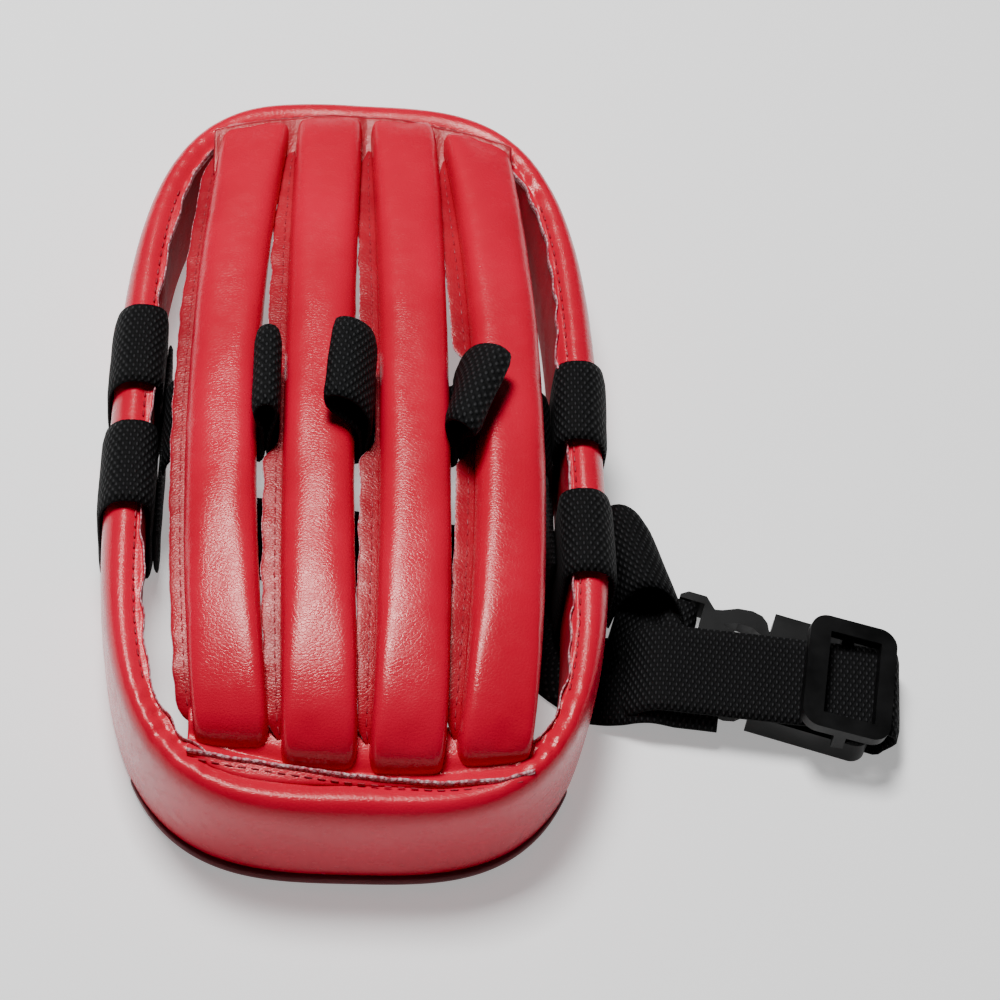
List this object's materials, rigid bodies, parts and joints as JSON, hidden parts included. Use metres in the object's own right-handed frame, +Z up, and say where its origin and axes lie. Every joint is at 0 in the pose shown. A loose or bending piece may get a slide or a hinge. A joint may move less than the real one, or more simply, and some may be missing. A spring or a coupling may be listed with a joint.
{
  "type": "open head guard",
  "caption": "Open head guard: padded oblong headband, padded strips arched over the crown, webbing and a side release chin buckle.",
  "frame": {"origin": "centre of the headband's outline, on the plane that it rests on", "axes": "+X to the buckle side, +Y to the back of the headband, +Z up through the crown strips"},
  "size_m": [0.2148, 0.2325, 0.0625],
  "materials": {
    "red_leather": "glossy coated leatherette",
    "dark_lining": "matt coated lining",
    "knit_backing": "raw knit edge",
    "foam": "closed cell foam",
    "webbing": "woven webbing",
    "black_plastic": "satin moulded plastic"
  },
  "bodies": {
    "head_guard": {"band_cover_front": "red_leather", "band_cover_back": "red_leather", "band_cover_left": "red_leather", "band_cover_right": "red_leather", "band_foam": "foam", "band_lining": "dark_lining", "band_seam": "knit_backing", "forehead_pad": "dark_lining", "front_yoke": "dark_lining", "back_yoke": "dark_lining", "strip_cover_1": "red_leather", "strip_cover_2": "red_leather", "strip_cover_3": "red_leather", "strip_cover_4": "red_leather", "strip_foam_1": "foam", "strip_foam_2": "foam", "strip_foam_3": "foam", "strip_foam_4": "foam", "strip_lining_1": "dark_lining", "strip_lining_2": "dark_lining", "strip_lining_3": "dark_lining", "strip_lining_4": "dark_lining", "cross_strap": "webbing", "loop_left_rear": "webbing", "loop_left_front": "webbing", "loop_right_rear": "webbing", "loop_right_front": "webbing", "side_strap_left": "webbing", "side_strap_right": "webbing", "chin_strap_root": "webbing", "buckle_strap": "webbing", "buckle_plug": "black_plastic"},
    "socket": {"buckle_socket": "black_plastic", "chin_strap_end": "webbing"},
    "glide": {"tri_glide": "black_plastic"},
    "rear_arm": {"latch_arm_rear": "black_plastic"},
    "front_arm": {"latch_arm_front": "black_plastic"}
  },
  "joints": [
    {"name": "buckle_release", "type": "slide", "parent": "head_guard", "child": "socket", "axis": [0.9563, -0.2924, 0], "range_m": [0, 0.02]},
    {"name": "rear_arm_squeeze", "type": "hinge", "parent": "head_guard", "child": "rear_arm", "pos_m": [0.09636, -0.0369, 0.0041], "axis": [0, 0, 1], "range_deg": [-9.5, 0]},
    {"name": "front_arm_squeeze", "type": "hinge", "parent": "head_guard", "child": "front_arm", "pos_m": [0.08941, -0.05966, 0.0041], "axis": [0, 0, 1], "range_deg": [0, 9.5]},
    {"name": "glide_slide", "type": "slide", "parent": "socket", "child": "glide", "axis": [-0.9944, 0.1045, -0.0175], "range_m": [0, 0.028]}
  ],
  "couplings": [
    {"joint": "rear_arm_squeeze", "follows": "buckle_release", "rad_per_m": -7.854},
    {"joint": "front_arm_squeeze", "follows": "buckle_release", "rad_per_m": 7.854}
  ]
}
